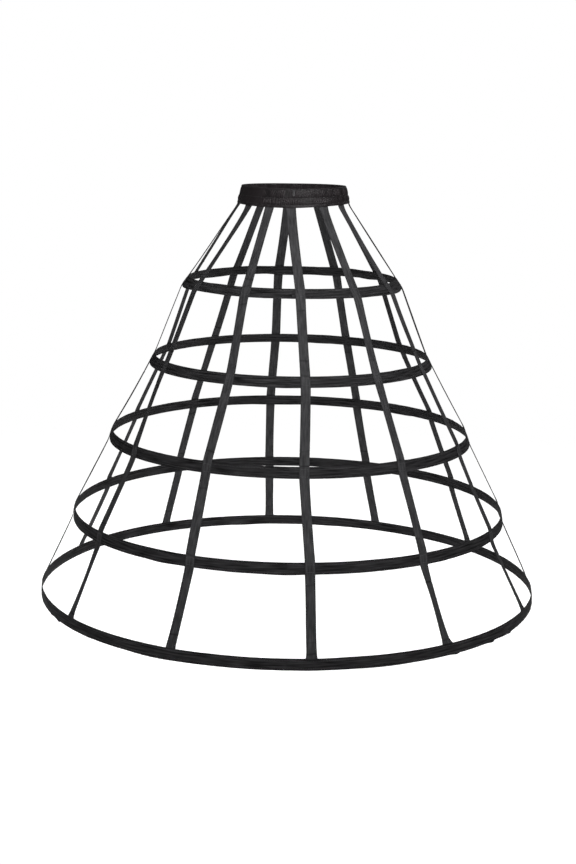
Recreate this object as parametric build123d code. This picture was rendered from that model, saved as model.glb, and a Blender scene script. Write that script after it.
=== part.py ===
from build123d import *
import math
import os

# Crinoline cage: boned hoops hung on tapes from an elastic waistband.
# Millimetres. +Z is up and the front faces -Y. The origin is the middle of the waist opening.
# An azimuth is counted in degrees from the front, growing towards +X.

# Waistband: an oval tube of cloth that flares downwards, gathered in two rows between its seams
WAIST_HALF_WIDTH = 115.0  # at the top edge, outside
WAIST_HALF_DEPTH = 98.0  # at the top edge, outside
WAIST_FLARE = 0.086  # growth of the oval from the top edge to the lower edge
WAISTBAND_HEIGHT = 40.0
GATHER_COUNT = 84  # round the whole oval, the smooth panel's share included
GATHER_DEPTH = 1.0  # from crest to valley
ROW_PUFF = 0.012  # growth of the oval at the middle of each row
SMOOTH_PANEL = (-75.0, -30.0)  # turns between which the cloth lies flat
WAISTBAND_LAYER = 1.6  # cloth on each face, from the crests of the gathers
WAISTBAND_TOP_FOLD = 2.0
WAISTBAND_SEAM = 10.0  # flat seam under the elastic, which holds the tapes
WAIST_TUCK_MARGIN = 2.5  # seam left above the tapes' ends

# Elastic inside the waistband
ELASTIC_THICKNESS = 1.4
ELASTIC_CLEARANCE = 0.4

# Buttonhole through the outer cloth at the front, which reaches the elastic
BUTTONHOLE_LENGTH = 9.0
BUTTONHOLE_WIDTH = 1.2
BUTTONHOLE_BELOW_TOP = 9.0

# Hoops, from the top one down
HOOP_DIAMETERS = (470.0, 617.0, 800.0, 966.0, 1114.0)  # at the middle of the casing
HOOP_DROPS = (169.2, 341.8, 511.5, 687.6, 861.7)  # below the waistband's lower edge
CASING_LEANS = (36.0, 28.0, 17.0, 9.0, 5.0)  # degrees that the lower edge stands out

# Flat tubular casing of each hoop
CASING_EDGE = 5.6  # each side of the bone's channel
HEM_TUCK_MARGIN = 1.4  # edge left between the tapes' ends and the channel
CASING_BEVEL = 1.0  # the inner face is this much narrower at each edge
CASING_LAYER = 0.5  # one layer of ribbon
JOINER_CLEARANCE = 0.3  # round the joiner inside the casing

# Flat spring steel bone, closed to a ring by a crimped sleeve
BONE_WIDTH = 12.0
BONE_THICKNESS = 0.6
BONE_GAP = 1.0  # between the two ends
BONE_CORNER = 3.0  # radius of the four corners at the ends
BONE_CLEARANCE = 0.1  # inside the sleeve
JOINER_LENGTH = 34.0
JOINER_WALL = 0.5
CRIMP_WIDTH = 2.0
CRIMP_DEPTH = 0.2
CRIMP_FROM_END = 6.0
JOIN_AZIMUTH = 170.0  # at the back, between two tapes

# Tapes
TAPE_COUNT = 12
TAPE_FIRST_AZIMUTH = 5.0
FRONT_TAPE_TURN = -6.0  # the front tape is sewn to the waistband under its buttonhole
TAPE_WIDTH = 20.0
TAPE_THICKNESS = 0.8
TAPE_GAP = 0.1  # between a tape and a casing or a pocket wall
TAPE_EDGE_RUN = 1.5  # how far a tape stays parallel past a casing's edge
TAPE_TURN_RUN = 10.0  # below the waistband, over which a tape turns to face as at the hoops

# Sizes that follow from these
BAND_THICKNESS = 2 * (WAISTBAND_LAYER + ELASTIC_CLEARANCE) + ELASTIC_THICKNESS
BAND_TOP = WAISTBAND_HEIGHT / 2
BAND_FOOT = -WAISTBAND_HEIGHT / 2
SLEEVE_WIDTH = BONE_WIDTH + 2 * (BONE_CLEARANCE + JOINER_WALL)
SLEEVE_THICKNESS = BONE_THICKNESS + 2 * (BONE_CLEARANCE + JOINER_WALL)
CHANNEL_WIDTH = SLEEVE_WIDTH + 2 * JOINER_CLEARANCE
CHANNEL_THICKNESS = SLEEVE_THICKNESS + 2 * JOINER_CLEARANCE
CASING_WIDTH = CHANNEL_WIDTH + 2 * CASING_EDGE
CASING_THICKNESS = CHANNEL_THICKNESS + 2 * CASING_LAYER
WAIST_TUCK = WAISTBAND_SEAM - WAIST_TUCK_MARGIN
HEM_TUCK = CASING_EDGE - HEM_TUCK_MARGIN


class Hoop:
    """The circle and the lean that a casing, its bone and the tapes share."""

    def __init__(self, diameter, drop, lean):
        self.radius = diameter / 2
        self.height = BAND_FOOT - drop
        self.lean = lean

    def point(self, down, out):
        """Radius and height of a point, down along the casing's face and out of it."""
        turn = math.radians(self.lean)
        radius = self.radius + down * math.sin(turn) + out * math.cos(turn)
        height = self.height - down * math.cos(turn) + out * math.sin(turn)
        return radius, height

    def strip(self, half_out, half_in, low, high):
        """Section of a strip in the XZ plane, between the faces at low and high."""
        corners = ((half_out, high), (-half_out, high), (-half_in, low), (half_in, low))
        return Plane.XZ * make_face(Polyline(*[self.point(*c) for c in corners], close=True))

    def ring(self, width, thickness, arc=360.0, start=0.0, bevel=0.0, out=0.0):
        """A flat strip bent round the hoop, from one azimuth over an arc."""
        half = width / 2
        section = self.strip(half, half - bevel, out - thickness / 2, out + thickness / 2)
        return Rot(0, 0, start - 90) * revolve(section, Axis.Z, arc)

    def arc(self, length):
        return math.degrees(length / self.radius)


def band_growth(height):
    """Size of the waistband's oval at a height, against its top edge."""
    return 1 + WAIST_FLARE * (BAND_TOP - height) / WAISTBAND_HEIGHT


def gather_dip(step, turn):
    """How far a corner of the gathered outline lies in from the crests."""
    if SMOOTH_PANEL[0] < turn < SMOOTH_PANEL[1]:
        return GATHER_DEPTH / 2
    return GATHER_DEPTH if step % 2 else 0.0


def outline(height, inset, gathered=False, puff=0.0):
    """The waistband's oval at a height, that far in from its face, as a closed outline."""
    steps = GATHER_COUNT * (2 if gathered else 1)
    growth = band_growth(height) + puff
    corners = []
    for step in range(steps):
        turn = step * 360 / steps - 180
        dip = inset + (gather_dip(step, turn) if gathered else 0.0)
        across = (WAIST_HALF_WIDTH - dip) * math.sin(math.radians(turn))
        along = -(WAIST_HALF_DEPTH - dip) * math.cos(math.radians(turn))
        corners.append((growth * across, growth * along))
    return Pos(0, 0, height) * make_face(Polyline(*corners, close=True))


def oval_plug(low, high, inset):
    return loft([outline(z, inset) for z in (low, high)], ruled=True)


def oval_ring(low, high, inset, thickness):
    return oval_plug(low, high, inset) - oval_plug(low, high, inset + thickness)


def gathered_plug():
    """The waistband's outer form: seams at its edges and middle, a puffed row between each two."""
    quarter = WAISTBAND_HEIGHT / 4
    puffs = (0.0, ROW_PUFF, 0.0, ROW_PUFF, 0.0)
    levels = [outline(BAND_FOOT + i * quarter, 0.0, True, puff) for i, puff in enumerate(puffs)]
    return loft(levels, ruled=True)


def hoop_azimuth(index):
    return TAPE_FIRST_AZIMUTH + index * 360 / TAPE_COUNT


def waist_turn(index):
    return hoop_azimuth(index) + (FRONT_TAPE_TURN if index == 0 else 0.0)


def waist_point(index, height):
    """Where a tape passes through the middle of the waistband's wall."""
    turn = math.radians(waist_turn(index))
    across = (WAIST_HALF_WIDTH - BAND_THICKNESS / 2) * math.sin(turn)
    along = -(WAIST_HALF_DEPTH - BAND_THICKNESS / 2) * math.cos(turn)
    growth = band_growth(height)
    return Vector(growth * across, growth * along, height)


def hoop_point(hoop, index, down, out):
    """Where a tape passes a hoop, down along the casing's face and out of it."""
    radius, height = hoop.point(down, out)
    azimuth = math.radians(hoop_azimuth(index))
    return Vector(radius * math.sin(azimuth), -radius * math.cos(azimuth), height)


def tape_section(point, facing, thickness=TAPE_THICKNESS, grow=0.0):
    """A level section of a tape whose outer face looks towards an azimuth."""
    return Pos(point) * Rot(0, 0, facing) * Rectangle(TAPE_WIDTH + 2 * grow, thickness + 2 * grow)


def waist_section(index, height, grow=0.0):
    """The tape's section in the waistband, along the band's wall."""
    turn = math.radians(waist_turn(index))
    across = (WAIST_HALF_DEPTH - BAND_THICKNESS / 2) * math.sin(turn)
    along = (WAIST_HALF_WIDTH - BAND_THICKNESS / 2) * math.cos(turn)
    facing = math.degrees(math.atan2(across, along))
    return tape_section(waist_point(index, height), facing, grow=grow)


def turned_section(hoop, index, down, out):
    """The tape's section below the waistband, on its straight way to the first hoop."""
    start = waist_point(index, BAND_FOOT - TAPE_EDGE_RUN)
    end = hoop_point(hoop, index, down, out)
    share = TAPE_TURN_RUN / (start.Z - end.Z)
    return tape_section(start + (end - start) * share, hoop_azimuth(index))


def hoop_section(hoop, index, down, out, grow=0.0):
    """The tape's section where it lies along a casing."""
    level_thickness = TAPE_THICKNESS / math.cos(math.radians(hoop.lean))
    point = hoop_point(hoop, index, down, out)
    return tape_section(point, hoop_azimuth(index), level_thickness, grow)


def waist_end(index, grow=0.0):
    """Sections of the end sewn into the waistband, lowest last."""
    top = BAND_FOOT + WAIST_TUCK + grow
    return [waist_section(index, z, grow) for z in (top, BAND_FOOT - TAPE_EDGE_RUN)]


def hem_end(hoop, index, grow=0.0):
    """Sections of the end sewn into the lowest casing, lowest last."""
    edge = -CASING_WIDTH / 2
    downs = (edge - TAPE_EDGE_RUN, edge + HEM_TUCK + grow)
    return [hoop_section(hoop, index, down, 0.0, grow) for down in downs]


def make_tape(hoops, index):
    out = CASING_THICKNESS / 2 + TAPE_GAP + TAPE_THICKNESS / 2
    reach = CASING_WIDTH / 2 + TAPE_EDGE_RUN
    sections = [*waist_end(index), turned_section(hoops[0], index, -reach, out)]
    for hoop in hoops[:-1]:
        sections += [hoop_section(hoop, index, down, out) for down in (-reach, reach)]
    sections += hem_end(hoops[-1], index)
    return loft(sections, ruled=True)


def make_waistband():
    band = gathered_plug() - oval_plug(BAND_FOOT, BAND_TOP, BAND_THICKNESS)
    low, high = BAND_FOOT + WAISTBAND_SEAM, BAND_TOP - WAISTBAND_TOP_FOLD
    band -= oval_ring(low, high, WAISTBAND_LAYER, BAND_THICKNESS - 2 * WAISTBAND_LAYER)
    for index in range(TAPE_COUNT):
        band -= loft(waist_end(index, TAPE_GAP), ruled=True)
    hole_height = BAND_TOP - BUTTONHOLE_BELOW_TOP
    half_depth = band_growth(hole_height) * (WAIST_HALF_DEPTH - WAISTBAND_LAYER / 2)
    hole = Box(BUTTONHOLE_WIDTH, 2 * WAISTBAND_LAYER, BUTTONHOLE_LENGTH)
    return band - Pos(0, -half_depth, hole_height) * hole


def make_elastic():
    low = BAND_FOOT + WAISTBAND_SEAM + ELASTIC_CLEARANCE
    high = BAND_TOP - WAISTBAND_TOP_FOLD - ELASTIC_CLEARANCE
    return oval_ring(low, high, WAISTBAND_LAYER + ELASTIC_CLEARANCE, ELASTIC_THICKNESS)


def make_casing(hoop, tucked_tapes):
    casing = hoop.ring(CASING_WIDTH, CASING_THICKNESS, bevel=CASING_BEVEL)
    casing -= hoop.ring(CHANNEL_WIDTH, CHANNEL_THICKNESS)
    for index in range(tucked_tapes):
        casing -= loft(hem_end(hoop, index, TAPE_GAP), ruled=True)
    return casing


def make_bone(hoop):
    gap = hoop.arc(BONE_GAP)
    bone = hoop.ring(BONE_WIDTH, BONE_THICKNESS, 360 - gap, JOIN_AZIMUTH + gap / 2)
    corners = [e for e in bone.edges() if abs(e.length - BONE_THICKNESS) < BONE_THICKNESS / 10]
    return fillet(corners, BONE_CORNER)


def make_joiner(hoop):
    arc = hoop.arc(JOINER_LENGTH)
    start = JOIN_AZIMUTH - arc / 2
    joiner = hoop.ring(SLEEVE_WIDTH, SLEEVE_THICKNESS, arc, start)
    bore = SLEEVE_THICKNESS - 2 * JOINER_WALL
    joiner -= hoop.ring(SLEEVE_WIDTH - 2 * JOINER_WALL, bore, arc, start)
    for side in (-1, 1):
        middle = JOIN_AZIMUTH + side * hoop.arc(JOINER_LENGTH / 2 - CRIMP_FROM_END)
        crimp = hoop.arc(CRIMP_WIDTH)
        start = middle - crimp / 2
        joiner -= hoop.ring(BONE_WIDTH, 2 * CRIMP_DEPTH, crimp, start, out=SLEEVE_THICKNESS / 2)
    return joiner


def build():
    hoops = [Hoop(*sizes) for sizes in zip(HOOP_DIAMETERS, HOOP_DROPS, CASING_LEANS)]
    nodes = {"waistband": make_waistband(), "waist_elastic": make_elastic()}
    for number, hoop in enumerate(hoops, 1):
        tucked_tapes = TAPE_COUNT if hoop is hoops[-1] else 0
        nodes[f"hoop_casing_{number}"] = make_casing(hoop, tucked_tapes)
        nodes[f"hoop_bone_{number}"] = make_bone(hoop)
        nodes[f"hoop_joiner_{number}"] = make_joiner(hoop)
    for index in range(TAPE_COUNT):
        nodes[f"tape_{index + 1:02d}"] = make_tape(hoops, index)
    return nodes


os.makedirs("parts", exist_ok=True)
for name, shape in build().items():
    export_step(shape, f"parts/{name}.step")
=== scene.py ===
import bpy
import math
import numpy as np
from mathutils import Matrix, Vector


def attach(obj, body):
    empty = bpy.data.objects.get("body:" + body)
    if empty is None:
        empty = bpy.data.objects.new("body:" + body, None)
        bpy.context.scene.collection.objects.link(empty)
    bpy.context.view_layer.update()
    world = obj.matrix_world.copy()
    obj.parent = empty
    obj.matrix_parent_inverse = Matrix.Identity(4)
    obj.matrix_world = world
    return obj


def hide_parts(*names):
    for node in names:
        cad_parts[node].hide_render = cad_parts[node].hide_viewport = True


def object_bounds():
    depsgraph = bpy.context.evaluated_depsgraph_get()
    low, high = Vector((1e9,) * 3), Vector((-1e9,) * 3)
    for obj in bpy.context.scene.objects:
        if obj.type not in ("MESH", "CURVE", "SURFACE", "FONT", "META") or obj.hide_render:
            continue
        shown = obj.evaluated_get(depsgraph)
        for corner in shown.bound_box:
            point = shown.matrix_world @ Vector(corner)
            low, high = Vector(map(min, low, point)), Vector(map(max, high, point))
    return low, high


# Crinoline cage: the cloth, thread, steel and elastic on the frame. Metres, +Z up, front towards -Y.
# An azimuth is counted in degrees from the front, growing towards +X.

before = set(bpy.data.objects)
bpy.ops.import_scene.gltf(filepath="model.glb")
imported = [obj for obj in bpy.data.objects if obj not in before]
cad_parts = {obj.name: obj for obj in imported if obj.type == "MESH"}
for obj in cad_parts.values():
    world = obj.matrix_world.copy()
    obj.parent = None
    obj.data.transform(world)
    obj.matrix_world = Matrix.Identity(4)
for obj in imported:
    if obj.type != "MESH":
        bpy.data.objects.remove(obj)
cad_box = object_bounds()

MM = 0.001
rng = np.random.default_rng(7)

# Camera
FOCAL_LENGTH = 67.2  # for 36 mm along the picture's long side
CAMERA_AT = (-0.0035, -3.563, 0.2093)
CAMERA_DOWN = 11.73  # degrees
CAMERA_ROLL = 1.015

# Room
FLOOR_DROP = 0.215  # below the hem
FLOOR_RADIUS = 3.2
FLOOR_FADE = (1.3, 3.0)  # radii between which the floor fades into the backdrop
FLOOR_GLOW = 0.62
ROOM_LIGHT = 0.12
BACKDROP_LIGHT = 1.0
OVERHEAD_LIGHT = 0.7
OVERHEAD_LEAN = 20.0  # degrees towards the front
OVERHEAD_SOFTNESS = 60.0  # degrees across

# Tapes
TAPE_WIDTH = 20.6 * MM
TAPE_HALF_THICKNESS = 0.42 * MM
TAPE_STEP = 2.0 * MM
TAPE_HUG = 0.55 * MM  # how far a tape is drawn in against a casing
TAPE_SPREAD = 0.06  # share of its width that a tape gains where it is sewn flat
TAPE_STOPS = (-1, -0.95, -0.84, -0.45, 0, 0.45, 0.84, 0.95, 1.0)  # shares of its half width
SELVEDGE_STOPS = (0, 0.82, 0.9, 0.97, 1.0)
SELVEDGE_SWELL = (0.9, 0.9, 1.12, 0.9, 0.35)  # share of its half thickness at those stops
TAPE_CUPS = (0.2 * MM, 1.1 * MM)  # least and most that a tape's edges bend inwards between hoops
TAPE_BOW = 0.5 * MM
TAPE_BOW_LENGTH = 36  # steps
EDGE_WAVE = 0.14 * MM
EDGE_WAVE_LENGTH = 18  # steps
LOOSE_TURN = 4.0  # the most that a tape turns between hoops, in degrees, where TURNS doesn't say
LOOSE_FLARE = 1.5  # the most that a foot flares, in millimetres, where FOOT_FLARES doesn't say
BEND_SOFTNESS = 2.8  # steps over which a tape bends at a casing's edge
STRAY_SOFTNESS = 10  # steps
# How far a tape is sewn round from its even place, in degrees, at the waistband and the five hoops
STRAYS = {
    1: (-2.5, -1.0, 0.8, -0.7, 0.4, 0.2),
    2: (-4.0, -0.9, 0.8, 0.2, -0.2, 0.9),
    3: (-7.5, -3.5, 1.5, 0.4, -0.7, 2.0),
    5: (-3.0, -0.8, -1.1, -1.9, -0.2, 1.0),
    6: (0.0, -0.2, -0.5, 0.7, 1.1, 0.8),
    7: (1.0, 2.8, 1.9, 2.0, 0.9, 0.0),
    8: (0.0, -1.2, 1.8, 0.9, -0.2, -0.7),
    9: (11.0, 5.3, 2.4, -0.5, -1.5, 0.0),
    11: (3.0, -3.9, -6.0, 0.6, -0.2, 0.3),
    12: (0.0, 0.7, 1.0, 0.2, 1.2, 0.5),
}
# Turn of a tape about its own length halfway down each of its five spans, in degrees
TURNS = {
    1: (0.0, 0.0, 2.0, -2.0, 0.0),
    2: (-1.0, -7.0, -6.0, -3.0, -20.0),
    3: (0.0, 0.0, 0.0, -2.0, -7.0),
    11: (8.0, -3.0, 7.0, 2.0, 12.0),
    12: (5.0, 5.0, -5.0, -12.0, 5.0),
}
FOOT_FLARES = {2: (1.0, 6.5), 3: (1.0, 6.0), 11: (3.0, 2.0)}  # to the left and right, in millimetres
FOOT_LENGTH = 10.0  # millimetres above the hem over which a foot flares
CREASES_FROM_HOOP = (28.0, 48.0)  # millimetres
CREASE_AT_EDGE = 12.8 * MM  # above a hoop's middle
CREASE_DEPTH = 0.6 * MM
CREASE_HALF_WIDTH = 1.5 * MM
CREASE_SLANT = 2.5 * MM  # the most that a crease rises from the middle to an edge
CREASE_STRENGTHS = (-0.5, 1.1)  # a crease below 0 doesn't show

# Hoop casings
EDGE_HALF = 0.55 * MM  # half thickness of the two layers outside the stitch rows
EDGE_FROM_MIDDLE = 8.5 * MM  # where a casing's free edges begin to wave
EDGE_ROUNDING = 0.6 * MM
BONE_DOME = 0.55 * MM  # added over the bone
DOME_HALF_WIDTH = 7.6 * MM
STITCH_PINCH = 0.28 * MM
PINCH_HALF_WIDTH = 0.5 * MM
JOINER_HALF = 1.2 * MM  # half thickness over the joiner
JOINER_HALF_LENGTH = 21.0  # millimetres, to the middle of the ribbon's slope down to the bone
JOINER_SLOPE = 1.2
JOINER_CALM = 45.0  # millimetres either side within which the ribbon lies straight
JOINER_REACH = 6.9 * MM  # how far from the middle the joiner holds the ribbon up
JOINER_AZIMUTH = 170.0
FOOT_COVER = 0.55 * MM  # added to the hem casing over a tape's foot
FOOT_MARGIN = 2.0  # millimetres past a foot's edges that the cover reaches
FOOT_CALM = 4  # steps
ROW_FROM_MIDDLE = 7.7 * MM
ROW_STOP = 7.2 * MM  # the ribbon puckers from here outwards
FULL_PUCKER = 9.0 * MM  # and by its full depth from here
CASING_STEP = 4.5 * MM
CASING_STOPS = (0, 2.2, 4.4, 6.0, 6.9, 7.7, 8.5, 9.6, 10.8)  # millimetres from the middle
CASING_END_STOPS = (0.5, 0.15, 0.0)  # millimetres from the edge
# Waves of a casing's free edges: their spread in steps, how rare they are, and their size
FOOT_WAVES = (6, 0.9, 0.9 * MM)
TOP_WAVES = (7, 1.2, 0.5 * MM)
WAVE_LIMITS = (-0.3, 1.6)
SLIDE = 0.35 * MM  # drift of the ribbon across the bone
SLIDE_MOST = 0.6 * MM
SLIDE_SPREAD = 22  # steps
LEAN = 1.5  # drift of the ribbon's lean, in degrees
LEAN_MOST = 3
LEAN_SPREAD = 30
PUCKER = 0.10 * MM
FOLD_SIZES = (0.1 * MM, 0.32 * MM)
FOLD_SLANT = 1.6
FOLD_HALF_LENGTH = 3.5 * MM
TOP_HOOP_WAVES = 2.2  # how much wavier the smallest casing is than the rest
# Where the hem casing's free edge droops and steps back: the step's azimuth, the droop's length and
# depth in millimetres, and 1 where the droop comes before its step in azimuth or -1 where it comes after
HEM_DROOPS = (
    (39.0, 26.0, 2.6, 1),
    (51.0, 34.0, 3.6, 1),
    (58.5, 22.0, 2.4, 1),
    (-60.0, 30.0, 3.0, 1),
    (-66.0, 26.0, 1.6, -1),
)
STEP_SHARPNESS = 30

# Waistband
GATHERS = 150
COLUMNS_PER_GATHER = 10
SMOOTH_PANEL = (-75.0, -33.0)  # turns round the oval between which the cloth isn't gathered
PANEL_EDGE = 1.2  # degrees over which the gathers begin
BAND_WALL = 5.4 * MM
BAND_INSET = 0.5 * MM  # how far the smooth cloth lies inside the waistband's oval
INNER_INSET = 0.2 * MM
INNER_INSET_MOST = 0.9 * MM
EDGE_TURN = 0.5 * MM  # how far the cloth turns in at the band's top and foot
EDGE_TURN_STARTS = (18.6, -18.0)  # millimetres
EDGE_TURN_DEPTHS = (1.4, 1.8)
LIP = 0.35 * MM  # waves in the foot, below its seam
LIP_WAVES = 3
LIP_HEIGHT = -17
PUFF = 0.36 * MM  # how far the gathered rows swell out
FOLD = 1.3 * MM  # depth of a gather
PLEATS = 290  # finer ones, beside the stitches
PLEAT = 0.45 * MM
# How uneven the gathers are, in gathers or as a share of their size, each with its spread in columns
WARP, WARP_SPREAD = 2.6, 14
SLANT, SLANT_SPREAD = 0.7, 24
PLEAT_WARP, PLEAT_WARP_SPREAD = 1.6, 10
SIZE_DRIFT, SIZE_SPREAD = 0.45, 9
SIZE_LIMITS = (0.25, 1.9)
CRUMPLE_SPREAD = 1.2
NEAR_ROW = 1.2  # millimetres from a row of stitches within which the cloth sinks and crumples
ROW_SINK = 0.25 * MM
ROW_CRUMPLE = 0.16 * MM
SWAY_TOP = np.array([-1.3, 0.2, 1.2])  # rise at the front, left and right, in millimetres
SWAY_FOOT = np.array([-2.6, 1.3, 5.0])
ROWS = ((17.6, 1.0), (-1.0, -13.4))  # tops and feet of the two gathered rows, in millimetres
ROW_LEVELS = 15
TOP_LEVELS = (19.9, 19.2, 18.4, 17.8)
FOOT_LEVELS = (-13.8, -14.6, -16.0, -17.6, -19.0, -19.7)
STITCH_HEIGHTS = (18.0, 0.0, -13.6, -17.0)
HOLE_AT = 11.0  # height of the buttonhole's middle, in millimetres
HOLE_HALF_LENGTH = 5.0 * MM
HOLE_HALF_WIDTH = 2.2 * MM
HOLE_STITCH_LENGTH = 2.3 * MM
HOLE_SIDE_STITCHES = 26
HOLE_END_STITCHES = 6
HOLE_PROUD = 0.75 * MM  # how far its stitches stand out from the gathers

# Thread
STITCH_PITCH = 3.2 * MM
STITCH_LENGTH = 2.5 * MM
THREAD_RADIUS = 0.24 * MM
TACKS_PER_SIDE = 5

# Pitches of the weaves and ribs, in millimetres
TWILL = 1.6
TWILL_WARP = 0.5
RIBBON_RIB = 1.3
RIBBON_PICK = 0.6
LINING_THREAD = 0.7
ELASTIC_RIB = 2.2

TAPES = 12
HOOPS = 5
SAME_LEVEL = 0.02 * MM  # between points of a CAD mesh that count as level


# Mesh tools


def points_of(node):
    """The points of a CAD node's mesh, each once."""
    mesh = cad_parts[node].data
    flat = np.zeros(len(mesh.vertices) * 3)
    mesh.vertices.foreach_get("co", flat)
    return np.unique(flat.reshape(-1, 3).round(6), axis=0)


def at_level(points, height):
    return points[abs(points[:, 2] - height) < SAME_LEVEL]


def unit(vectors):
    return vectors / np.linalg.norm(vectors, axis=-1, keepdims=True)


def smoothed(values, spread, closed=False):
    """Values along a line, each averaged with its neighbours over a spread of samples."""
    reach = int(3 * spread) + 1
    weights = np.exp(-0.5 * (np.arange(-reach, reach + 1) / spread) ** 2)
    weights /= weights.sum()
    wide = np.pad(values, [(reach, reach)] + [(0, 0)] * (values.ndim - 1), "wrap" if closed else "edge")
    return sum(w * wide[i:i + len(values)] for i, w in enumerate(weights))


def drift(count, spread, closed=False):
    """Smooth random values of unit size along a line."""
    values = smoothed(rng.standard_normal(count), spread, closed)
    return values / values.std()


def add_piece(name, points, faces, uv, finish, slot):
    """A mesh that belongs to the part, with its finish. The slot is not used."""
    mesh = bpy.data.meshes.new(name)
    mesh.from_pydata(points.tolist(), [], faces)
    mesh.shade_smooth()
    if uv is not None:
        layer = mesh.uv_layers.new(name="cloth")
        layer.data.foreach_set("uv", np.asarray(uv, np.float32).ravel())
    mesh.materials.append(finish)
    piece = bpy.data.objects.new(name, mesh)
    bpy.context.scene.collection.objects.link(piece)
    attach(piece, "root")
    return piece


def skin(name, grid, across, along, closed, finish, slot):
    """A tube of cloth: rows of the grid run round its section, and closed says if its length closes too.
    Across and along are the cloth's own coordinates in millimetres at the grid's corners."""
    rows, columns = grid.shape[:2]
    spans = rows if closed else rows - 1
    i, j = np.meshgrid(np.arange(spans), np.arange(columns), indexing="ij")
    corners = [(i, j), (i, j + 1), (i + 1, j + 1), (i + 1, j)]
    index = np.stack([(a % rows) * columns + b % columns for a, b in corners], -1)
    uv = np.stack([np.stack([across[b], along[a]], -1) for a, b in corners], 2)
    faces = index.reshape(-1, 4).tolist()
    uv = uv.reshape(-1, 2)
    if not closed:
        faces += [list(range(columns - 1, -1, -1)), list(range((rows - 1) * columns, rows * columns))]
        uv = np.concatenate([uv, np.zeros((2 * columns, 2))])
    return add_piece(name, grid.reshape(-1, 3), faces, uv, finish, slot)


def mark_points(piece, name, values):
    """A value at each point of a piece, for its finish to read."""
    marks = piece.data.attributes.new(name, "FLOAT", "POINT")
    marks.data.foreach_set("value", values.ravel().astype(np.float32))


def stitches(name, middles, runs, outs, finish, slot, length=STITCH_LENGTH):
    """One short bulging thread at each place, along its run and lying on its face."""
    runs, outs = unit(runs), unit(outs)
    sides = np.cross(outs, runs)
    # Share of the length, thickness and lift at a stitch's two ends and two shoulders
    stations = ((-0.5, 0.0, -0.8), (-0.28, 1.0, 0.0), (0.28, 1.0, 0.0), (0.5, 0.0, -0.8))
    rings = []
    for along, size, lift in stations:
        centre = middles + runs * along * length + outs * lift * THREAD_RADIUS
        turns = ((1, 0), (0, 1), (-1, 0), (0, -1)) if size else ((0, 0),)
        rings += [centre + THREAD_RADIUS * size * (sides * a + outs * b) for a, b in turns]
    points = np.stack(rings, 1)
    shape = [(0, 2, 1), (0, 3, 2), (0, 4, 3), (0, 1, 4)]
    shape += [(1, 2, 6, 5), (2, 3, 7, 6), (3, 4, 8, 7), (4, 1, 5, 8)]
    shape += [(9, 5, 6), (9, 6, 7), (9, 7, 8), (9, 8, 5)]
    faces = [[10 * k + v for v in face] for k in range(len(middles)) for face in shape]
    return add_piece(name, points.reshape(-1, 3), faces, None, finish, slot)


def seam_places(line, other, at):
    """Middles, runs and outward directions of stitches on a closed line of one face of the cloth.
    Other is the line behind it on the other face, and at counts the line's points."""
    low = np.floor(at).astype(int) % len(line)
    ahead, share = (low + 1) % len(line), (at % 1)[:, None]
    outs = unit((line - other)[low])
    middles = line[low] * (1 - share) + line[ahead] * share + outs * THREAD_RADIUS / 2
    return middles, line[ahead] - line[low], outs


# Finishes

class Value:
    """An output of a material's node. Sums and products of it add Math nodes."""

    def __init__(self, finish, output):
        self.finish, self.output = finish, output

    def math(self, operation, *others):
        return self.finish.node("Math", {"operation": operation}, dict(enumerate((self, *others))))

    def __add__(self, other):
        return self.math("ADD", other)

    def __mul__(self, other):
        return self.math("MULTIPLY", other)

    def __sub__(self, other):
        return self.math("SUBTRACT", other)

    def __truediv__(self, other):
        return self.math("DIVIDE", other)

    def __rsub__(self, other):
        return self * -1 + other

    __radd__ = __add__
    __rmul__ = __mul__


class Finish:
    """A material with a Principled shader, and the nodes that feed it."""

    def __init__(self, name, **constants):
        self.material = bpy.data.materials.new(name)
        self.material.use_nodes = True
        self.tree = self.material.node_tree
        self.shader = self.tree.nodes["Principled BSDF"]
        for socket, value in constants.items():
            self.shader.inputs[socket.replace("_", " ")].default_value = value

    def node(self, kind, settings, inputs, output=0):
        made = self.tree.nodes.new("ShaderNode" + kind)
        for name, value in settings.items():
            setattr(made, name, value)
        for name, value in inputs.items():
            self.feed(made.inputs[name], value)
        return Value(self, made.outputs[output])

    def feed(self, socket, value):
        if isinstance(value, Value):
            self.tree.links.new(value.output, socket)
        else:
            socket.default_value = value

    def cloth_place(self):
        """Millimetres across and along the cloth."""
        uv = self.node("UVMap", {"uv_map": "cloth"}, {})
        split = self.node("SeparateXYZ", {}, {0: uv})
        return split, Value(self, split.output.node.outputs[1])

    def noise(self, size, detail=2.0, stretch=(1, 1, 1)):
        """Noise from 0 to 1, with patches of about that size in metres."""
        place = self.node("TexCoord", {}, {}, "Object")
        place = self.node("VectorMath", {"operation": "MULTIPLY"}, {0: place, 1: stretch})
        return self.node("TexNoise", {}, {"Vector": place, "Scale": 1 / size, "Detail": detail})

    def cloth_noise(self, across, along, detail=2.0):
        """Noise from 0 to 1 in the cloth's own plane, with patches of that size in millimetres."""
        u, v = self.cloth_place()
        place = self.node("CombineXYZ", {}, {0: u / across, 1: v / along})
        return self.node("TexNoise", {}, {"Vector": place, "Scale": 1.0, "Detail": detail})

    def colour(self, dark, light, share):
        colours = {0: share, 6: (*dark, 1), 7: (*light, 1)}
        self.feed(self.shader.inputs["Base Color"], self.node("Mix", {"data_type": "RGBA"}, colours, 2))

    def rough(self, value):
        self.feed(self.shader.inputs["Roughness"], value)

    def bump(self, height, depth):
        """Depth is the height of a step of 1, in metres."""
        bumped = self.node("Bump", {}, {"Height": height, "Distance": depth, "Strength": 1.0})
        self.feed(self.shader.inputs["Normal"], bumped)


def stronger(noise):
    """Noise about 0.5 with three times its contrast."""
    return (noise - 0.5) * 3.0 + 0.5


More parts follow.
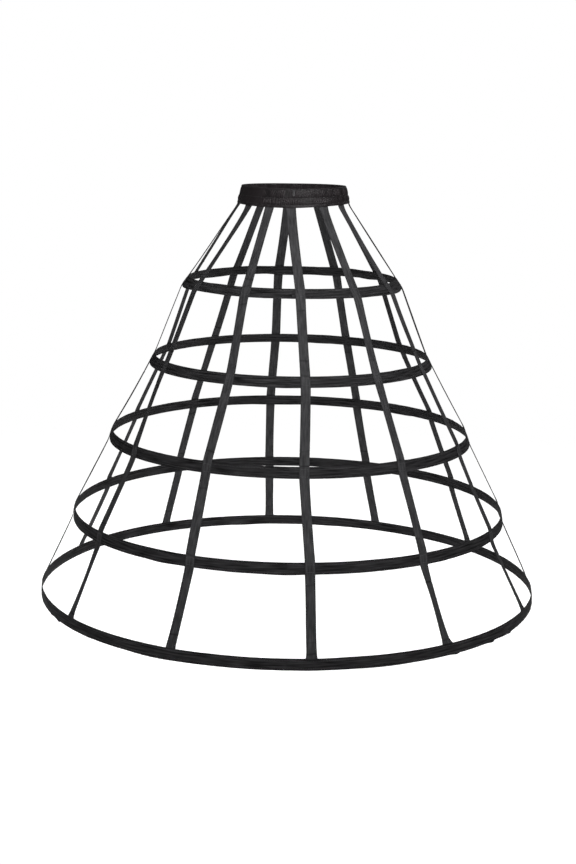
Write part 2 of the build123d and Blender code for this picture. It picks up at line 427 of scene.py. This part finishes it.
def wave(value, pitch):
    """0 to 1 and back once every pitch."""
    return (value * (2 * math.pi / pitch)).math("SINE") * 0.5 + 0.5


def woven_tape_finish():
    """Charcoal twill tape, with painted shade in its creases and at its rolled selvedges."""
    f = Finish("charcoal_twill_tape", Specular_IOR_Level=0.06)
    u, v = f.cloth_place()
    twill = wave(u + v, TWILL)
    warp = wave(u, TWILL_WARP)
    threads = twill * 0.65 + warp * 0.35
    fibres = f.cloth_noise(0.9, 7.0, 4.0)
    slubs = f.cloth_noise(3.0, 3.5, 2.0)
    patches = stronger(f.noise(0.03, 3.0))
    streaks = stronger(f.cloth_noise(3.6, 30.0))
    # Painted shade of the rolled edges: the colour darkens over the selvedges.
    selvedge = f.node("MapRange", {}, {"Value": u.math("ABSOLUTE"), "From Min": 7.6, "From Max": 10.0})
    crease = f.node("Attribute", {"attribute_name": "crease"}, {}, "Fac")
    light = threads * 0.15 + fibres * 0.15 + slubs * 0.1 + patches * 0.2 + streaks * 0.4
    # Painted shade: the colour darkens at the rolled selvedges and deep in the creases, where the folds
    # would shade the cloth.
    light = light * (1 - selvedge * 0.45) * (1 - crease * 0.95)
    f.colour((0.006, 0.006, 0.0063), (0.050, 0.0495, 0.0518), light)
    f.rough(0.62 + fibres * 0.2)
    f.bump(threads + fibres * 0.5 + slubs * 0.6 + streaks * 0.8, 0.12 * MM)
    return f.material


def casing_ribbon_finish():
    """Black plain-weave ribbon with fine ribs and fainter streaks along it."""
    f = Finish("black_tubular_ribbon", Specular_IOR_Level=0.05)
    u, v = f.cloth_place()
    ribs = wave(u, RIBBON_RIB)
    picks = wave(v, RIBBON_PICK)
    threads = ribs * 0.65 + picks * 0.35
    streaks = stronger(f.cloth_noise(3.4, 60.0))
    fibres = f.cloth_noise(0.8, 6.0, 3.0)
    patches = stronger(f.noise(0.04, 3.0))
    light = threads * 0.1 + streaks * 0.7 + fibres * 0.1 + patches * 0.15 - 0.08
    f.colour((0.0012, 0.0012, 0.0013), (0.0310, 0.0303, 0.0318), light)
    f.rough(0.60 + fibres * 0.25)
    f.bump(threads + streaks * 2.0 + fibres * 0.4, 0.10 * MM)
    return f.material


def waistband_finish():
    """Black plain-weave lining cloth, with painted shade in the hollows of its gathers and a painted
    highlight on their crests.
    """
    f = Finish("black_gathered_cloth", Specular_IOR_Level=0.12)
    u, v = f.cloth_place()
    threads = wave(u, LINING_THREAD) * 0.5 + wave(v, LINING_THREAD) * 0.5
    fibres = f.cloth_noise(2.2, 0.7, 3.0)
    patches = f.noise(0.012)
    hollow = f.node("Attribute", {"attribute_name": "hollow"}, {}, "Fac")
    # Painted shade and highlight: the colour darkens with the gathers' depth and lightens on their crests.
    fold_shade_and_highlight = f.node("MapRange", {}, {"Value": hollow, "From Min": 0.6, "From Max": -0.5})
    light = (threads * 0.2 + fibres * 0.3 + patches * 0.5) * (fold_shade_and_highlight * 1.5 + 0.25)
    f.colour((0.0018, 0.0014, 0.0016), (0.0170, 0.0140, 0.0152), light)
    f.rough(0.36 + fibres * 0.22)
    f.bump(threads * 0.7 + fibres, 0.10 * MM)
    return f.material


def thread_finish(name, dark, light):
    """Twisted thread with a slight shine."""
    f = Finish(name, Specular_IOR_Level=0.5)
    twist = f.noise(0.0006, 1.0)
    f.colour(dark, light, twist)
    f.rough(0.4 + twist * 0.2)
    f.bump(twist, 0.05 * MM)
    return f.material


def steel_finish(name, dark, light, grain):
    """Rolled steel with a grain round the hoop and a few duller patches."""
    f = Finish(name, Metallic=1.0)
    streaks = f.noise(grain, 3.0, (0.15, 0.15, 1.0))
    patches = f.noise(0.03)
    f.colour(dark, light, streaks * 0.6 + patches * 0.4)
    f.rough(0.24 + streaks * 0.22)
    f.bump(streaks, 0.01 * MM)
    return f.material


def elastic_finish():
    """Knitted elastic: ribs round the waist over rubber cores."""
    f = Finish("ribbed_black_elastic", Specular_IOR_Level=0.3, Sheen_Weight=0.15)
    place = f.node("TexCoord", {}, {}, "Object")
    split = f.node("SeparateXYZ", {}, {0: place})
    height = Value(f, split.output.node.outputs[2]) * 1000
    ribs = wave(height, ELASTIC_RIB)
    knit = f.noise(0.0012, 2.0, (1.0, 1.0, 0.5))
    f.colour((0.012, 0.012, 0.012), (0.045, 0.045, 0.046), ribs * 0.5 + knit * 0.5)
    f.rough(0.7 + knit * 0.2)
    f.bump(ribs + knit * 0.4, 0.15 * MM)
    return f.material


# Tapes

def tape_sections(node):
    """Middle and across direction of each level section of a tape, top first."""
    points = points_of(node)
    middles, acrosses = [], []
    for height in sorted(set(points[:, 2].round(5)), reverse=True):
        corners = at_level(points, height)
        if len(corners) != 4:
            continue
        middle = corners.mean(0)
        reach = np.linalg.norm(corners - corners[0], axis=1)
        across = corners[np.argsort(reach)[2]] - corners[0]
        right = np.array([-middle[1], middle[0], 0.0])
        middles.append(middle)
        acrosses.append(across * np.sign(across @ right))
    return np.array(middles), unit(np.array(acrosses))


def spin(vectors, degrees):
    """Vectors turned about the upright axis, each by its own angle."""
    cos, sin = np.cos(np.radians(degrees)), np.sin(np.radians(degrees))
    x, y, z = vectors.T
    return np.stack([x * cos - y * sin, x * sin + y * cos, z], 1)


def oval_reach(points):
    """How far the oval of the waistband's foot reaches from the axis towards each point."""
    half_width, half_depth = waistband_sizes()[-1]
    azimuth = np.arctan2(points[:, 0], -points[:, 1])
    return 1 / np.hypot(np.sin(azimuth) / half_width, np.cos(azimuth) / half_depth)


def tape_line(index):
    """Places, across directions and run along a tape, and the runs where it passes the hoops."""
    middles, acrosses = tape_sections(f"tape_{index:02d}")
    stations = middles.copy()
    for first in range(3, 3 + 2 * (HOOPS - 1), 2):
        down = unit(middles[first + 1] - middles[first])
        inward = np.cross(acrosses[first], down)
        stations[first:first + 2] += inward * TAPE_HUG
    run = np.concatenate([[0], np.cumsum(np.linalg.norm(np.diff(stations, axis=0), axis=1))])
    count = int(run[-1] / TAPE_STEP) + 1
    at = np.linspace(0, run[-1], count)
    line = np.stack([np.interp(at, run, stations[:, k]) for k in range(3)], 1)
    across = np.stack([np.interp(at, run, acrosses[:, k]) for k in range(3)], 1)
    ends = line[[0, -1]]
    line = smoothed(line, BEND_SOFTNESS)
    line[[0, -1]] = ends
    hoop_runs = [(run[k] + run[k + 1]) / 2 for k in range(3, 3 + 2 * (HOOPS - 1), 2)] + [run[-1]]
    strays = STRAYS.get(index, (0,) * (HOOPS + 1))
    stray = smoothed(np.interp(at, [0, *hoop_runs], strays), STRAY_SOFTNESS)
    spun = spin(line, stray)
    near_waist = np.clip(1 - at / hoop_runs[0], 0, 1)
    spun[:, :2] *= (1 + near_waist * (oval_reach(spun) / oval_reach(line) - 1))[:, None]
    return spun, spin(unit(across), stray), at, np.array(hoop_runs)


def free_share(at, hoop_runs):
    """0 where a tape is sewn down and 1 halfway between two hoops, and the span's number."""
    marks = np.concatenate([[0], hoop_runs])
    span = np.clip(np.searchsorted(marks, at, side="right") - 1, 0, len(marks) - 2)
    t = (at - marks[span]) / (marks[span + 1] - marks[span])
    return np.sin(np.pi * np.clip(t, 0, 1)), span


def crease_marks(hoop_runs):
    """Creases across a tape, above and below each hoop and at each casing's top edge.
    Each has its run, strength, half width and slant."""
    marks = []
    for place in hoop_runs:
        for run in (place - far_crease(), place + far_crease(), place - CREASE_AT_EDGE):
            strength = max(0.0, rng.uniform(*CREASE_STRENGTHS))
            half_width = rng.uniform(0.7, 1.3) * CREASE_HALF_WIDTH
            marks.append((run, strength, half_width, rng.uniform(-1, 1) * CREASE_SLANT))
    return marks


def far_crease():
    """How far a crease lies from a hoop's middle."""
    return rng.uniform(*CREASES_FROM_HOOP) * MM


def creased(at, share, marks):
    """How deep each station of a tape lies in a crease, from 0 to 1, at a share of its half width."""
    depth = np.zeros(len(at))
    for run, strength, half_width, slant in marks:
        depth = np.maximum(depth, strength * np.exp(-(((at - run - slant * share) / half_width) ** 2)))
    return depth


def make_tape(index, finish):
    """One woven tape, from the waistband's seam into the hem casing, and the lines that its tacks follow."""
    line, across, at, hoop_runs = tape_line(index)
    down = unit(np.gradient(line, axis=0))
    free, span = free_share(at, hoop_runs)
    turn = np.array(TURNS.get(index, rng.uniform(-LOOSE_TURN, LOOSE_TURN, HOOPS)))[span] * free
    flares = FOOT_FLARES.get(index, rng.uniform(0, LOOSE_FLARE, 2))
    out = unit(np.cross(down, across))
    angle = np.radians(turn)[:, None]
    across = unit(across * np.cos(angle) + out * np.sin(angle))
    out = np.cross(down, across)
    bow = free * drift(len(at), TAPE_BOW_LENGTH) * TAPE_BOW
    marks = crease_marks(hoop_runs)
    edge_wave = np.stack([drift(len(at), EDGE_WAVE_LENGTH) for _ in range(2)]) * EDGE_WAVE
    spread = 1 + TAPE_SPREAD * (1 - free) ** 2
    cup = free * rng.uniform(*TAPE_CUPS)

    stops = np.array(TAPE_STOPS)
    half = np.interp(abs(stops), SELVEDGE_STOPS, SELVEDGE_SWELL) * TAPE_HALF_THICKNESS
    section = np.concatenate([np.stack([stops, -half], 1), np.stack([stops, half], 1)[::-1]])
    near_hem = np.exp(-(((at[-1] - at) / MM / FOOT_LENGTH) ** 2))
    bent = near_hem / (2 * np.hypot(*line[-1, :2]))  # the foot follows the hoop's curve
    grid = np.zeros((len(at), len(section), 3))
    creases = np.stack([creased(at, share, marks) for share in section[:, 0]], 1)
    for k, (share, height) in enumerate(section):
        edge = int(share > 0)
        side = share * (TAPE_WIDTH / 2 * spread + near_hem * flares[edge] * MM)
        side = side + np.sign(share) * edge_wave[edge] * abs(share) ** 3
        rise = height + bow - cup * share ** 2 - bent * side ** 2 - CREASE_DEPTH * creases[:, k]
        grid[:, k] = line + across * side[:, None] + out * rise[:, None]
    u = np.append(section[:, 0], section[0, 0]) * TAPE_WIDTH / 2 / MM
    piece = skin(f"woven_tape_{index:02d}", grid, u, at / MM, False, finish, "tape")
    # The crease depth, which the tape's finish turns into painted shade in the creases.
    mark_points(piece, "crease", creases)
    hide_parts(f"tape_{index:02d}")
    return line, across, out, at, hoop_runs


def tack_squares(tapes, finish):
    """The stitched square that holds each tape to each casing."""
    middles, runs, outs = [], [], []
    half = ROW_FROM_MIDDLE
    for line, across, out, at, hoop_runs in tapes:
        for place in hoop_runs[:-1]:
            k = int(np.argmin(abs(at - place)))
            side, normal = across[k], out[k]
            down = unit(np.cross(side, normal))
            down = down * np.sign(down @ (line[k + 1] - line[k]))
            centre = line[k] + normal * (TAPE_HALF_THICKNESS + 0.6 * THREAD_RADIUS)
            ticks = np.linspace(-half, half, TACKS_PER_SIDE + 1)[:-1] + half / TACKS_PER_SIDE
            for a, b in ((side, down), (down, side)):
                for end in (-half, half):
                    for tick in ticks:
                        middles.append(centre + a * tick + b * end)
                        runs.append(a)
                        outs.append(normal)
    places = [np.array(values) for values in (middles, runs, outs)]
    stitches("tape_tack_stitches", *places, finish, "tape")


# Hoop casings

def casing_section(node):
    """Middle of a casing's section as radius and height, and its down and out directions there."""
    points = points_of(node)
    flat = np.stack([np.hypot(points[:, 0], points[:, 1]), points[:, 2]], 1)
    top = flat[np.argmax(flat[:, 1])]
    foot = flat[np.argmax(flat[:, 0] - 0.01 * flat[:, 1])]  # the lowest of the outermost points
    down = unit(foot - top)
    out = np.array([-down[1], down[0]])
    depth = np.ptp(flat @ out)
    width = np.linalg.norm(foot - top)
    return (top + foot) / 2 - out * depth / 2, down, out, width


def around(radius, height, azimuth):
    """Points at that radius and height round the hoop's axis."""
    return np.stack([radius * np.sin(azimuth), -radius * np.cos(azimuth), height], -1)


def casing_profile(width):
    """Stops across the flat tube, from its top edge to its foot, and its half thickness at each."""
    stops = np.concatenate([np.array(CASING_STOPS) * MM, width / 2 - np.array(CASING_END_STOPS) * MM])
    dome = np.clip(1 - (stops / DOME_HALF_WIDTH) ** 4, 0, 1)
    pinch = np.exp(-(((stops - ROW_FROM_MIDDLE) / PINCH_HALF_WIDTH) ** 2))
    into_edge = np.clip(stops - width / 2 + EDGE_ROUNDING, 0, None) / EDGE_ROUNDING
    rounding = np.sqrt(np.clip(1 - into_edge ** 2, 0.02, 1))
    half = (EDGE_HALF + BONE_DOME * dome - STITCH_PINCH * pinch) * rounding
    return np.concatenate([-stops[:0:-1], stops]), np.concatenate([half[:0:-1], half])


def distance_round(azimuth, middle, radius):
    """Millimetres along a hoop from one azimuth to the others, in radians."""
    return ((azimuth - middle + math.pi) % (2 * math.pi) - math.pi) * radius / MM


def hem_droop(azimuth, radius):
    """How far the hem casing's free edge hangs below its line."""
    droop = np.zeros(len(azimuth))
    for middle, length, depth, side in HEM_DROOPS:
        t = side * distance_round(azimuth, math.radians(middle), radius) / length
        rising = np.clip((t + 1) / 0.9, 0, 1) ** 1.5
        droop += depth * MM * rising / (1 + np.exp(t * STEP_SHARPNESS))
    return droop


def over_feet(azimuth, radius):
    """1 where the hem casing covers the foot of a tape, and 0 elsewhere."""
    cover = np.zeros(len(azimuth))
    for index in range(1, TAPES + 1):
        end = tape_line(index)[0][-1]
        middle = math.atan2(end[0], -end[1])
        left, right = FOOT_FLARES.get(index, (LOOSE_FLARE, LOOSE_FLARE))
        offset = distance_round(azimuth, middle, radius)
        reach = TAPE_WIDTH / 2 / MM + np.where(offset > 0, right, left)
        cover = np.maximum(cover, 1 / (1 + np.exp(abs(offset) - reach - FOOT_MARGIN)))
    return cover


def edge_waves(count, wavy, spread, rarity, size):
    """How far a casing's free edge waves out all round."""
    return np.clip(drift(count, spread, True) - rarity / wavy, *WAVE_LIMITS) * size * wavy


def make_casing(number, cloth, thread):
    """One hoop's flat tubular ribbon, with its rows of stitches."""
    (radius, height), down, out, width = casing_section(f"hoop_casing_{number}")
    circumference = 2 * math.pi * radius
    count = int(circumference / CASING_STEP)
    azimuth = np.linspace(0, 2 * math.pi, count, endpoint=False)
    run = azimuth * radius
    stops, half = casing_profile(width)

    from_joiner = (run - math.radians(JOINER_AZIMUTH) * radius) / MM
    joiner = 1 / (1 + np.exp((abs(from_joiner) - JOINER_HALF_LENGTH) / JOINER_SLOPE))
    calm = 1 - np.exp(-((from_joiner / JOINER_CALM) ** 2))
    slide = np.clip(drift(count, SLIDE_SPREAD, True) * SLIDE, -SLIDE_MOST, SLIDE_MOST) * calm
    lean = np.radians(np.clip(drift(count, LEAN_SPREAD, True) * LEAN, -LEAN_MOST, LEAN_MOST)) * calm
    wavy = TOP_HOOP_WAVES if number == 1 else 1.0
    foot_bulge = edge_waves(count, wavy, *FOOT_WAVES)
    top_bulge = edge_waves(count, wavy, *TOP_WAVES)
    feet = np.zeros(count)
    if number == HOOPS:
        foot_bulge = foot_bulge + hem_droop(azimuth, radius)
        feet = over_feet(azimuth, radius)
        free = 1 - smoothed(feet, FOOT_CALM, True)
        slide, lean = slide * free, lean * free
    pucker = [
        drift(count, 0.9, True) * PUCKER * np.clip(1 + 0.5 * drift(count, 10, True), 0.2, 2)
        for _ in range(2)
    ]
    fold = np.zeros((count, len(stops)))
    for place in rng.uniform(0, circumference, 3 + 3 * number):
        slope = rng.uniform(-FOLD_SLANT, FOLD_SLANT)
        size = rng.uniform(*FOLD_SIZES) * wavy
        distance = (run[:, None] - place - slope * stops[None] + circumference / 2) % circumference
        fold += size * np.exp(-(((distance - circumference / 2) / FOLD_HALF_LENGTH) ** 2))

    def surface(k, side):
        """The tube's face at stop k: side is 1 outside and -1 inside."""
        s = stops[k]
        free_edge = max(0.0, (abs(s) - EDGE_FROM_MIDDLE) / (width / 2 - EDGE_FROM_MIDDLE))
        across = s + slide + np.where(s > 0, foot_bulge, -top_bulge) * free_edge
        over_joiner = max(0.0, JOINER_HALF - half[k]) if abs(s) <= JOINER_REACH else 0.0
        over_foot = FOOT_COVER if s < -ROW_FROM_MIDDLE else 0.0
        rise = side * (half[k] + over_joiner * joiner + over_foot * feet)
        if side > 0:
            rise = rise + fold[:, k] * (1 - joiner)
        if abs(s) > ROW_STOP:
            rise = rise + pucker[int(s > 0)] * min(1.0, abs(s) / FULL_PUCKER)
        cos, sin = np.cos(lean), np.sin(lean)
        r = radius + (across * cos - rise * sin) * down[0] + (across * sin + rise * cos) * out[0]
        z = height + (across * cos - rise * sin) * down[1] + (across * sin + rise * cos) * out[1]
        return around(r, z, azimuth)

    last = len(stops) - 1
    ring = [(k, 1) for k in range(last + 1)] + [(k, -1) for k in range(last, -1, -1)]
    grid = np.stack([surface(k, side) for k, side in ring], 1)
    u = np.array([stops[k] if side > 0 else width + 2 * MM - stops[k] for k, side in ring])
    u = np.append(u, u[-1]) / MM
    along = np.append(run, circumference) / MM
    piece = skin(f"hoop_ribbon_{number}", grid, u, along, True, cloth, "casing_ribbon")
    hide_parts(f"hoop_casing_{number}")
    rows = casing_rows(number, surface, stops, count, circumference, thread)


def casing_rows(number, surface, stops, count, circumference, thread):
    """Two rows of stitches on each face of a casing, one each side of the bone."""
    amount = int(circumference / STITCH_PITCH)
    at = np.arange(amount) * count / amount
    places = []
    for stop in (-ROW_FROM_MIDDLE, ROW_FROM_MIDDLE):
        k = int(np.argmin(abs(stops - stop)))
        places += [seam_places(surface(k, side), surface(k, -side), at) for side in (1, -1)]
    places = [np.concatenate(values) for values in zip(*places)]
    return stitches(f"ribbon_stitches_{number}", *places, thread, "casing_ribbon")


# Waistband

def waistband_sizes():
    """Heights of the waistband's top and foot, then its half width and half depth at each."""
    points = points_of("waistband")
    top, foot = points[:, 2].max(), points[:, 2].min()
    top_size, foot_size = (abs(at_level(points, height)[:, :2]).max(0) for height in (top, foot))
    return top, foot, top_size, foot_size


def band_levels():
    """Heights down the waistband in millimetres, closer together beside its stitch rows."""
    levels = [*TOP_LEVELS, 0.0, *FOOT_LEVELS]
    shares = 0.5 - 0.5 * np.cos(math.pi * np.linspace(0.03, 0.97, ROW_LEVELS))
    for top, foot in ROWS:
        levels += list(top - (top - foot) * shares)
    return np.array(sorted(set(np.round(levels, 3)), reverse=True))


def band_sway(turn, share):
    """How far the waistband strays from level, a share of the way down from its top to its foot."""
    front = np.clip(np.cos(turn), 0, 1) ** 2
    left = np.clip(-np.sin(turn), 0, 1) ** 2
    right = np.clip(np.sin(turn), 0, 1)
    sides = np.stack([front, left, right])
    return (SWAY_TOP @ sides * (1 - share) + SWAY_FOOT @ sides * share) * MM


def row_at(height):
    """The number of the gathered row at a height, or None, and how far down the row that is."""
    for number, (top, foot) in enumerate(ROWS):
        if foot < height < top:
            return number, (top - height) / (top - foot)
    return None, 0.0


def row_swell(height):
    """0 at a gathered row's stitches and outside the rows, and 1 at a row's middle."""
    return math.sin(math.pi * row_at(height)[1]) ** 0.6


def make_waistband(cloth, thread, hole_thread):
    """The gathered band over the elastic, with its rows of stitches and its buttonhole."""
    top, foot, top_size, foot_size = waistband_sizes()
    count = GATHERS * COLUMNS_PER_GATHER
    turn = np.linspace(-math.pi, math.pi, count, endpoint=False)
    turns = turn / (2 * math.pi)
    panel_middle = sum(SMOOTH_PANEL) / 2
    from_panel = abs(np.degrees(turn) - panel_middle) - (SMOOTH_PANEL[1] - panel_middle)
    gathered = 1 / (1 + np.exp(-from_panel / PANEL_EDGE))
    layers = range(2 * len(ROWS))  # the rows outside, then inside
    warp = [smoothed(rng.standard_normal(count), WARP_SPREAD, True) * WARP for _ in layers]
    size = [np.clip(1 + SIZE_DRIFT * drift(count, SIZE_SPREAD, True), *SIZE_LIMITS) for _ in layers]
    slant = [drift(count, SLANT_SPREAD, True) * SLANT for _ in layers]
    fine = [drift(count, CRUMPLE_SPREAD, True) for _ in range(2)]
    pleats = [smoothed(rng.standard_normal(count), PLEAT_WARP_SPREAD, True) * PLEAT_WARP for _ in layers]
    levels = band_levels()
    inner_levels = np.concatenate([levels[:1], levels[1:-1:2], levels[-1:]])

    def hollow(height, side):
        """How far the gathers lie below the band's smooth face, and above it where negative."""
        row, down = row_at(height)
        if row is None:
            return np.zeros(count)
        swell = row_swell(height)
        layer = row + (0 if side else len(ROWS))
        tilt = slant[layer] * (down - 0.5)
        fold = abs(np.cos(math.pi * (GATHERS * turns + warp[layer] + tilt))) ** 0.7 * size[layer]
        pleat = abs(np.cos(math.pi * (PLEATS * turns + pleats[layer] - tilt)))
        return gathered * (PLEAT * pleat * (1 - 0.6 * swell) - FOLD * (fold - 0.45) * swell)

    def face(height, side):
        """One face of the band at a height in millimetres: side is 1 outside and 0 inside."""
        lip = LIP * np.sin(turn * LIP_WAVES + 1.0) if height < LIP_HEIGHT else 0.0
        rise = height * MM + lip + band_sway(turn, (top - height * MM) / (top - foot))
        share = (top - rise) / (top - foot)
        a, b = (top_size[i] * (1 - share) + foot_size[i] * share for i in range(2))
        near_row = math.exp(-min(abs(height - end) for row in ROWS for end in row) / NEAR_ROW)
        inset = BAND_INSET + hollow(height, side) - gathered * PUFF * row_swell(height)
        inset = inset + gathered * near_row * (ROW_CRUMPLE * fine[side] + ROW_SINK)
        upper, lower = EDGE_TURN_STARTS
        edge = max(0.0, (height - upper) / EDGE_TURN_DEPTHS[0], (lower - height) / EDGE_TURN_DEPTHS[1])
        inset = inset + EDGE_TURN * min(edge, 1.0) ** 2
        depth = inset if side else BAND_WALL - np.minimum(inset, INNER_INSET_MOST) - INNER_INSET
        normal = unit(np.stack([b * np.sin(turn), -a * np.cos(turn)], 1))
        oval = np.stack([a * np.sin(turn), -b * np.cos(turn)], 1) - normal * depth[:, None]
        return np.concatenate([oval, rise[:, None]], 1)

    sides = [(height, 1) for height in levels] + [(height, 0) for height in inner_levels[::-1]]
    grid = np.stack([face(height, side) for height, side in sides], 1)
    lengths = np.linalg.norm(np.diff(grid, axis=1, append=grid[:, :1]), axis=2).mean(0)
    u = np.concatenate([[0], np.cumsum(lengths)]) / MM
    along = np.linspace(0, 1, count + 1) * 2 * math.pi * float(np.mean(top_size)) / MM
    piece = skin("gathered_waistband", grid, u, along, True, cloth, "waistband_cloth")
    # The gathers' depth, which the finish turns into painted shade in the hollows and a painted highlight on
    # the crests.
    mark_points(piece, "hollow", np.stack([hollow(height, side) for height, side in sides], 1) / MM)
    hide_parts("waistband")
    rows = waistband_rows(face, thread)
    hole = worked_buttonhole(face, turn, hole_thread)


def waistband_rows(face, thread):
    """Rows of stitches between the gathers, along the top hem and along the seam at the foot."""
    places = []
    for height in STITCH_HEIGHTS:
        for side in (1, 0):
            line, other = face(height, side), face(height, 1 - side)
            steps = np.linalg.norm(np.diff(line, axis=0, append=line[:1]), axis=1)
            run = np.concatenate([[0], np.cumsum(steps)])
            at = np.interp(np.arange(0, run[-1], STITCH_PITCH), run, np.arange(len(run)))
            places.append(seam_places(line, other, at))
    places = [np.concatenate(values) for values in zip(*places)]
    return stitches("waistband_stitches", *places, thread, "waistband_cloth")


def worked_buttonhole(face, turn, thread):
    """Dense stitches round the upright buttonhole at the front, across its edge all the way."""
    front = int(np.argmin(abs(turn)))
    middle = face(HOLE_AT, 1)[front]
    middles, runs = [], []
    for t in np.linspace(-1, 1, HOLE_SIDE_STITCHES):
        for side in (-1, 1):
            middles.append((side * HOLE_HALF_WIDTH * 0.62, t * HOLE_HALF_LENGTH))
            runs.append((1, 0))
    for t in np.linspace(-0.7, 0.7, HOLE_END_STITCHES):
        for side in (-1, 1):
            middles.append((t * HOLE_HALF_WIDTH, side * (HOLE_HALF_LENGTH + 0.5 * MM)))
            runs.append((0, 1))
    places = np.array([middle + np.array([x, -HOLE_PROUD, z]) for x, z in middles])
    ways = np.array([(x, 0.0, z) for x, z in runs], float)
    outs = np.tile([0.0, -1.0, 0.05], (len(places), 1))
    return stitches("worked_buttonhole", places, ways, outs, thread, "waistband_cloth", HOLE_STITCH_LENGTH)


# Camera, room and light

def add_camera():
    camera = bpy.data.objects.new("camera", bpy.data.cameras.new("camera"))
    camera.data.lens = FOCAL_LENGTH
    camera.data.sensor_fit = "AUTO"
    camera.data.sensor_width = 36.0
    tilt = Matrix.Rotation(math.radians(90 - CAMERA_DOWN), 4, "X")
    roll = Matrix.Rotation(math.radians(CAMERA_ROLL), 4, "Z")
    camera.matrix_world = Matrix.Translation(CAMERA_AT) @ tilt @ roll
    bpy.context.scene.collection.objects.link(camera)
    bpy.context.scene.camera = camera


def add_floor():
    """A round pale floor that fades into the white backdrop."""
    height = cad_box[0][2] - FLOOR_DROP
    turns = np.linspace(0, 2 * math.pi, 96, endpoint=False)
    rim = [(FLOOR_RADIUS * math.cos(t), FLOOR_RADIUS * math.sin(t), height) for t in turns]
    mesh = bpy.data.meshes.new("floor")
    mesh.from_pydata(rim, [], [tuple(range(len(rim)))])
    f = Finish("pale_floor", Roughness=0.9, Specular_IOR_Level=0.1)
    f.shader.inputs["Emission Color"].default_value = (1.0, 1.0, 1.0, 1.0)
    f.shader.inputs["Emission Strength"].default_value = FLOOR_GLOW
    f.colour((0.86, 0.86, 0.86), (0.9, 0.9, 0.9), f.noise(0.4))
    place = f.node("TexCoord", {}, {}, "Object")
    flat = f.node("VectorMath", {"operation": "MULTIPLY"}, {0: place, 1: (1, 1, 0)})
    reach = f.node("VectorMath", {"operation": "LENGTH"}, {0: flat}, "Value")
    inner, outer = FLOOR_FADE
    limits = {"Value": reach, "From Min": inner, "From Max": outer, "To Min": 1.0, "To Max": 0.0}
    f.feed(f.shader.inputs["Alpha"], f.node("MapRange", {"interpolation_type": "SMOOTHSTEP"}, limits))
    mesh.materials.append(f.material)
    floor = bpy.data.objects.new("floor", mesh)
    bpy.context.scene.collection.objects.link(floor)


def add_light(name, place, aim, size, power, spread=180.0):
    """A large soft light at a place, turned towards its aim."""
    data = bpy.data.lights.new(name, "AREA")
    data.shape, data.size, data.energy, data.spread = "SQUARE", size, power, math.radians(spread)
    light = bpy.data.objects.new(name, data)
    turn = (Vector(aim) - Vector(place)).to_track_quat("-Z", "Y").to_matrix().to_4x4()
    light.matrix_world = Matrix.Translation(place) @ turn
    bpy.context.scene.collection.objects.link(light)


def add_room():
    world = bpy.data.worlds.new("studio")
    world.use_nodes = True
    backdrop = world.node_tree.nodes["Background"]
    backdrop.inputs["Color"].default_value = (1.0, 1.0, 1.0, 1.0)
    seen = world.node_tree.nodes.new("ShaderNodeLightPath").outputs["Is Camera Ray"]
    strength = world.node_tree.nodes.new("ShaderNodeMapRange")
    strength.inputs["To Min"].default_value = ROOM_LIGHT
    strength.inputs["To Max"].default_value = BACKDROP_LIGHT
    world.node_tree.links.new(seen, strength.inputs["Value"])
    world.node_tree.links.new(strength.outputs["Result"], backdrop.inputs["Strength"])
    bpy.context.scene.world = world
    bpy.context.scene.view_settings.view_transform = "Standard"
    add_light("key", (0.9, -2.6, 1.7), (0.0, 0.0, -0.12), size=0.9, power=15, spread=52.0)
    add_light("fill", (-2.8, -2.0, 1.4), (0.0, 0.0, -0.4), size=2.2, power=14)
    add_light("back", (1.6, 3.0, 1.5), (0.0, 0.0, -0.4), size=2.4, power=11)
    sun = bpy.data.lights.new("overhead", "SUN")
    sun.energy, sun.angle = OVERHEAD_LIGHT, math.radians(OVERHEAD_SOFTNESS)
    overhead = bpy.data.objects.new("overhead", sun)
    overhead.matrix_world = Matrix.Rotation(math.radians(OVERHEAD_LEAN), 4, "X")
    bpy.context.scene.collection.objects.link(overhead)


def finish_hidden_parts():
    """The steel and elastic inside the cloth."""
    steel = steel_finish("blued_spring_steel", (0.30, 0.31, 0.33), (0.55, 0.56, 0.58), 0.004)
    plated = steel_finish("plated_joiner_steel", (0.50, 0.50, 0.51), (0.72, 0.72, 0.73), 0.002)
    kinds = {"hoop_bone": steel, "hoop_joiner": plated, "waist_elastic": elastic_finish()}
    for name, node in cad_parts.items():
        for kind, finish in kinds.items():
            if name.startswith(kind):
                node.data.materials.clear()
                node.data.materials.append(finish)


add_camera()
tape_cloth = woven_tape_finish()
ribbon = casing_ribbon_finish()
ribbon_thread = thread_finish("black_thread", (0.012, 0.012, 0.013), (0.03, 0.03, 0.032))
tape_thread = thread_finish("charcoal_thread", (0.02, 0.02, 0.021), (0.06, 0.06, 0.063))
hole_thread = thread_finish("grey_thread", (0.03, 0.03, 0.031), (0.08, 0.08, 0.083))
make_waistband(waistband_finish(), ribbon_thread, hole_thread)
for hoop_number in range(1, HOOPS + 1):
    make_casing(hoop_number, ribbon, ribbon_thread)
tape_lines = [make_tape(tape_number, tape_cloth) for tape_number in range(1, TAPES + 1)]
tack_squares(tape_lines, tape_thread)
finish_hidden_parts()
add_floor()
add_room()
